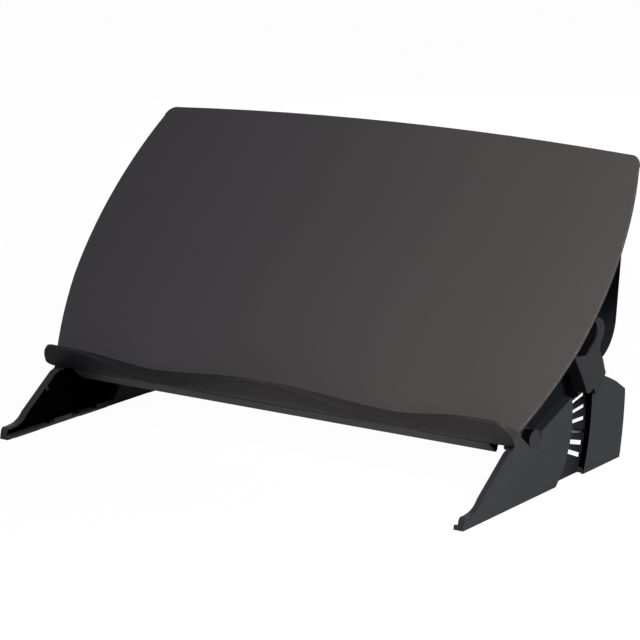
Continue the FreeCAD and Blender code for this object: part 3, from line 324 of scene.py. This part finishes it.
def makeLedge():
    size = ledge
    # stations crowd towards the round ends: x = half * sin(t)^0.9 keeps the sign of t
    turn = np.linspace(-math.pi / 2, math.pi / 2, size["stations"])
    x = size["half"] * np.sign(turn) * np.abs(np.sin(turn)) ** 0.9
    far = np.abs(x)
    inward = 0.5 * (1 + np.cos(np.pi * np.minimum(far / size["dipAt"], 1.0)))
    outward = 0.5 * (1 - np.cos(np.pi * np.clip((far - size["dipAt"]) / (size["crestAt"] - size["dipAt"]), 0.0, 1.0)))
    share = np.where(far < size["dipAt"], inward, outward) ** 0.85
    top = np.where(far < size["dipAt"], size["centre"], size["crest"])
    high = size["dip"] + (top - size["dip"]) * share
    fold = np.clip((share - 0.17) / 0.83, 0.0, 1.0)
    # the fold runs along the front, then up a crest, and leans back over it
    foldAlong = -size["depth"] + 0.0003 + 0.0062 * fold ** 0.7
    foldAbove = -0.0008 + (top + 0.0003) * fold
    # the ends: quarters of two ellipses, waist + height * sqrt(1 - past^2), take the edge down and the foot up
    waist = size["endWaist"]
    past = np.clip((far - size["half"] + size["endWidth"]) / size["endWidth"], 0.0, 1.0)
    limit = waist + (size["crest"] + 0.0004 - waist) * np.sqrt(1 - 0.97 * past ** 2)
    past = np.clip((far - size["half"] + size["endFoot"]) / size["endFoot"], 0.0, 1.0)
    lowAlong = -size["depth"] + 0.0008
    lowAbove = waist - (size["under"] + waist) * np.sqrt(1 - 0.97 * past ** 2)
    cutAbove = np.minimum(foldAbove, limit)
    foldAlong = lowAlong + (foldAlong - lowAlong) * (cutAbove - lowAbove) / (foldAbove - lowAbove)
    high = np.minimum(high, limit - 0.0002)
    # both faces bow a little: the ramp inwards, the front outwards
    sag = 0.0004 + 0.0011 * (1 - fold)
    bulge = 0.0001 + 0.0017 * fold
    rampAlong = 0.5 * (foldAlong - size["lip"]) + 0.5 * sag
    rampAbove = 0.5 * (cutAbove + high) - 0.7 * sag
    frontAlong = foldAlong + (lowAlong - foldAlong) * 0.6 - 0.9 * bulge
    frontAbove = cutAbove + (lowAbove - cutAbove) * 0.6 - 0.3 * bulge
    backAbove = np.maximum(0 * x, lowAbove + 0.0005)
    corners = np.stack([np.stack([0 * x, lowAbove], -1), np.stack([0 * x, backAbove], -1),
                        np.stack([0 * x - size["lip"], high], -1), np.stack([rampAlong, rampAbove], -1),
                        np.stack([foldAlong, cutAbove], -1), np.stack([frontAlong, frontAbove], -1),
                        np.stack([0 * x + lowAlong, lowAbove], -1)], 1)
    loops = roundedCorners(corners, size["soften"], size["cornerSteps"])
    # the very ends draw in by a quarter circle
    edge = size["endRound"]
    tip = np.clip((far - size["half"] + edge) / edge, 0.0, 1.0)
    draw = edge * (1 - np.sqrt(1 - 0.98 * tip ** 2))
    middle = loops.mean(1, keepdims=True)
    radial = loops - middle
    reach = np.maximum(np.linalg.norm(radial, axis=2, keepdims=True), edge)
    loops = middle + radial * (1 - draw[:, None, None] / reach)
    y, z = slopeToFrame(loops[:, :, 0], loops[:, :, 1])
    rings = np.stack([np.broadcast_to(x[:, None], y.shape), y, z], -1)
    flangeEnds = [(a, b) for a in (0.0005, size["flangeDepth"]) for b in (-size["flangeLow"], -size["flangeTop"])]
    corners = [(side * size["flange"],) + slopeToFrame(a, b) for side in (-1, 1) for a, b in flangeEnds]
    sides = [(0, 1, 3, 2), (4, 6, 7, 5), (0, 4, 5, 1), (2, 3, 7, 6), (0, 2, 6, 4), (1, 5, 7, 3)]
    # the loops are turned round so that the faces point outwards
    mesh = ringMesh("ledge", rings[:, ::-1], [(np.array(corners), sides)])
    return finishPiece("ledge", mesh, "ledgePlastic", "tilt_frame", 50.0, ["document_ledge"])


makeLedge()
print("ledge made")

# soft edges on the moulded nodes
mergeGap = 0.00001
softEdges = {"_leg": 0.0014, "_lever": 0.0011, "_arm": 0.0006, "_foot_pads": 0.0004, "drawer_front": 0.0004,
             "_tube_cap": 0.0016, "writing_board": 0.0011}
bevelSteps, bevelAngle = 3, 40.0


def soften(solid, width):
    weld = solid.modifiers.new("weld", "WELD")
    weld.merge_threshold = mergeGap
    bevel = solid.modifiers.new("softEdge", "BEVEL")
    bevel.width = width
    bevel.segments = bevelSteps
    bevel.limit_method = "ANGLE"
    bevel.angle_limit = math.radians(bevelAngle)
    flats = solid.modifiers.new("flatFaces", "WEIGHTED_NORMAL")
    flats.mode = "FACE_AREA"


def prismCutter(name, side, span, outline):
    # a closed prism across the part: outline gives (y, z) corners, clockwise as seen from the right,
    # and span its two distances from the middle, on the side of the given sign
    ring = [[(x, y, z) for y, z in outline] for x in sorted(side * far for far in span)]
    cutter = bpy.data.objects.new(name, ringMesh(name, np.array(ring, float)))
    bpy.context.scene.collection.objects.link(cutter)
    cutter.hide_render = True
    cutter.display_type = "WIRE"
    return cutter


def trim(solid, cutter):
    weld = solid.modifiers.new("weldFirst", "WELD")
    weld.merge_threshold = mergeGap
    away = solid.modifiers.new("trim", "BOOLEAN")
    away.operation = "DIFFERENCE"
    away.solver = "EXACT"
    away.object = cutter


# the rim along the slanted front of a leg stands only 5.6 mm deep, where the node's is 9.2 mm
base = {"nose": -0.14275, "rimSpan": (0.2350, 0.2389), "legSpan": (0.2340, 0.2460)}


def rimOutline():
    outer = [(-2.0, 4.5), (-0.5, 8.6), (2.0, 12.2), (7.0, 12.9), (14.6, 13.6), (22.6, 16.4), (28.6, 21.4),
             (70.6, 50.8), (77.0, 52.4)]
    inner = [(79.6, 48.0), (73.6, 44.6), (33.0, 16.2), (26.6, 11.6), (17.4, 6.8), (8.0, 6.4), (6.0, 4.5)]
    return [(base["nose"] + y / 1000, z / 1000) for y, z in outer + inner]


def rimLine(y):
    # just above the straight part of the rim's outer side
    return 19.92 + (y - 30.2) * (49.0 - 19.9) / (71.6 - 30.2)


# a rib ends flush with that side
flush = [(base["nose"] + y / 1000, z / 1000)
         for y, z in [(54.0, rimLine(57.0) + 4.0), (60.5, rimLine(63.2) + 4.0), (63.2, rimLine(63.2)),
                      (57.0, rimLine(57.0))]]

for side, name in ((-1, "left_leg"), (1, "right_leg")):
    for label, span, outline in (("Rim", base["rimSpan"], rimOutline()), ("Flush", base["legSpan"], flush)):
        trim(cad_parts[name], prismCutter(name + label, side, span, outline))

# the lever's tongue and its tooth slant away under the plate, clear of the comb's first slot
pivot = {"y": -0.02875, "z": 0.0505}
tongue = {"reaches": (0.0655, 0.0960), "from": 12.0, "arcSteps": 5,
          "cuts": (((0.2425, 0.2455), 18.4), ((0.2454, 0.2484), 20.4), ((0.2483, 0.2520), 22.0))}


def tongueCutter(name, side, span, top):
    # the sector between two reaches from the tilt axis, from the first angle up to the top one
    inner, outer = tongue["reaches"]
    turns = np.radians(np.linspace(tongue["from"], top, tongue["arcSteps"]))
    arc = [(pivot["y"] + r * math.cos(t), pivot["z"] + r * math.sin(t))
           for r, some in ((inner, turns), (outer, turns[::-1])) for t in some]
    return prismCutter(name, side, span, arc)


for side, name in ((-1, "left"), (1, "right")):
    for number, (span, top) in enumerate(tongue["cuts"]):
        cutter = tongueCutter(name + "Tongue" + str(number), side, span, top)
        trim(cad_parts[name + "_lever"], cutter)
        trim(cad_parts[name + "_tooth"], cutter)


# the faces of a leg: textured outside; painted shade makes the inside almost black, the comb and cradle edge dark
# grey and the front edges a shade darker; distances in metres: far from the middle, along from the nose, reach from
# the tilt axis
legZones = {"ribs": (0.060, 0.102, 0.126, 0.220), "ribHalf": 0.0016, "ribEnd": 0.2425, "innerSkin": 0.2358,
            "channel": (0.0655, 0.1015), "aboveDesk": 0.004, "cradle": 0.0200, "cradleBack": 0.0765,
            "web": 0.2370, "webGap": 0.0004, "skinReach": 0.070, "skinStart": 0.01}


def paintLeg(solid, side):
    mesh, zone = solid.data, legZones
    count = len(mesh.polygons)
    middle = np.empty(count * 3)
    normal = np.empty(count * 3)
    mesh.polygons.foreach_get("center", middle)
    mesh.polygons.foreach_get("normal", normal)
    x, y, z = middle.reshape(-1, 3).T
    outwards, forwards, up = normal.reshape(-1, 3).T
    outwards = outwards * side
    far = np.abs(x)
    along = y - base["nose"]
    reach = np.hypot(y - pivot["y"], z - pivot["z"])
    front = y < pivot["y"]
    edge = np.abs(outwards) < 0.7
    # painted shade: inner skin faces and rib sides are almost black
    inside = (outwards < -0.7) & (far > zone["innerSkin"])
    for rib in zone["ribs"]:
        inside |= (np.abs(forwards) > 0.97) & (np.abs(along - rib) < zone["ribHalf"]) & (far < zone["ribEnd"])
    # painted shade: the channel over the comb, and the cradle round the tube, are almost black
    low, high = zone["channel"]
    inside |= (reach > low) & (reach < high) & edge & (z > zone["aboveDesk"]) & (y > pivot["y"])
    inside |= (reach < zone["cradle"]) & edge & front
    # painted shade: the comb's web, top edges under the ledge and the cradle's top are dark grey
    web = (outwards > 0.7) & (np.abs(far - zone["web"]) < zone["webGap"])
    web |= (up > 0.9) & (forwards < -0.2) & (y > pivot["y"] + zone["skinStart"]) & (reach < zone["skinReach"])
    web |= (up > 0.2) & edge & front & (along > zone["cradleBack"]) & (reach > zone["cradle"])
    # painted shade: front-facing edges are a shade darker
    rim = edge & (forwards < -0.1)
    slots = np.where(web, 2, np.where(inside, 1, np.where(rim, 3, 0)))
    mesh.polygons.foreach_set("material_index", slots.astype(np.int32))
    for finish in ("legInside", "legWeb", "legRim"):
        mesh.materials.append(finishes[finish])


for side, name in ((-1, "left_leg"), (1, "right_leg")):
    paintLeg(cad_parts[name], side)

for name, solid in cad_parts.items():
    for end, width in softEdges.items():
        if name.endswith(end):
            soften(solid, width)
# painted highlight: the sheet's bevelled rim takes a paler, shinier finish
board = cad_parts["writing_board"]
board.data.materials.append(finishes["boardEdge"])
board.modifiers["softEdge"].material = 1
print("edges softened")

# the floor, the backdrop and the lamps
studio = {"floorSize": 14.0, "skyStrength": 0.08, "floorGlow": 0.97, "floorBounce": 0.7, "floorTone": 0.9,
          "floorRough": 0.9}


def makeFloor():
    half = studio["floorSize"] / 2
    mesh = bpy.data.meshes.new("floor")
    mesh.from_pydata([(-half, -half, 0), (half, -half, 0), (half, half, 0), (-half, half, 0)], [],
                     [(0, 1, 2, 3)])
    floor = bpy.data.objects.new("floor", mesh)
    bpy.context.scene.collection.objects.link(floor)
    material = bpy.data.materials.new("paleFloor")
    material.use_nodes = True
    tree = material.node_tree
    shader = tree.nodes["Principled BSDF"]
    feed(tree, shader, "Roughness", studio["floorRough"])
    glow = addNode(tree, "ShaderNodeEmission", {}, {"Color": (1.0, 1.0, 1.0, 1.0), "Strength": 1.0})
    seen = addNode(tree, "ShaderNodeLightPath", {}, {}, "Is Camera Ray")
    # paper white to the camera, a dull grey to the light that bounces off it
    feed(tree, shader, "Base Color", mixed(tree, seen, (studio["floorBounce"],) * 3 + (1.0,),
                                           (studio["floorTone"],) * 3 + (1.0,)))
    mix = addNode(tree, "ShaderNodeMixShader", {}, {0: seen * studio["floorGlow"],
                                                    1: Shade(tree, shader.outputs["BSDF"]), 2: glow})
    tree.links.new(mix.socket, tree.nodes["Material Output"].inputs["Surface"])
    mesh.materials.append(material)


def makeSky():
    world = bpy.data.worlds.new("studio")
    world.use_nodes = True
    bpy.context.scene.world = world
    tree = world.node_tree
    path = tree.nodes.new("ShaderNodeLightPath")
    camera = Shade(tree, path.outputs["Is Camera Ray"])
    glossy = Shade(tree, path.outputs["Is Glossy Ray"])
    through = Shade(tree, path.outputs["Is Transmission Ray"])
    direct = (camera + glossy + through).clamped()
    strength = direct * (1.0 - studio["skyStrength"]) + studio["skyStrength"]
    background = tree.nodes["Background"]
    background.inputs["Color"].default_value = (1.0, 1.0, 1.0, 1.0)
    tree.links.new(strength.socket, background.inputs["Strength"])


lamps = {
    "keyLamp": {"place": (1.10, -0.80, 0.82), "aim": (0.05, 0.0, 0.12), "size": 0.5, "power": 33.0,
                "colour": (1.0, 0.95, 0.94)},
    "fillLamp": {"place": (-1.6, -1.6, 1.2), "aim": (0.0, 0.0, 0.1), "size": 1.6, "power": 0.5,
                 "colour": (0.88, 0.92, 1.0)},
    "backLamp": {"place": (-0.7, 1.9, 1.0), "aim": (0.0, 0.05, 0.1), "size": 1.0, "power": 22.0,
                 "colour": (1.0, 1.0, 1.0)},
}


def makeLamp(name, size):
    light = bpy.data.lights.new(name, "AREA")
    light.energy = size["power"]
    light.size = size["size"]
    light.color = size["colour"]
    lamp = bpy.data.objects.new(name, light)
    lamp.location = size["place"]
    lamp.rotation_euler = (Vector(size["aim"]) - lamp.location).to_track_quat("-Z", "Y").to_euler()
    bpy.context.scene.collection.objects.link(lamp)


makeFloor()
makeSky()
for name, size in lamps.items():
    makeLamp(name, size)

# the camera
view = {"azimuth": 34.41, "elevation": 13.08, "lens": 150.45, "place": (1.3084, -1.89885, 0.6513)}


def makeCamera():
    data = bpy.data.cameras.new("camera")
    data.lens = view["lens"]
    data.sensor_width = 36.0
    data.clip_end = 50.0
    camera = bpy.data.objects.new("camera", data)
    camera.location = view["place"]
    camera.rotation_euler = (math.radians(90.0 - view["elevation"]), 0.0, math.radians(view["azimuth"]))
    bpy.context.scene.collection.objects.link(camera)
    bpy.context.scene.camera = camera


makeCamera()
bpy.context.scene.view_settings.view_transform = "Standard"

print("scene ready")
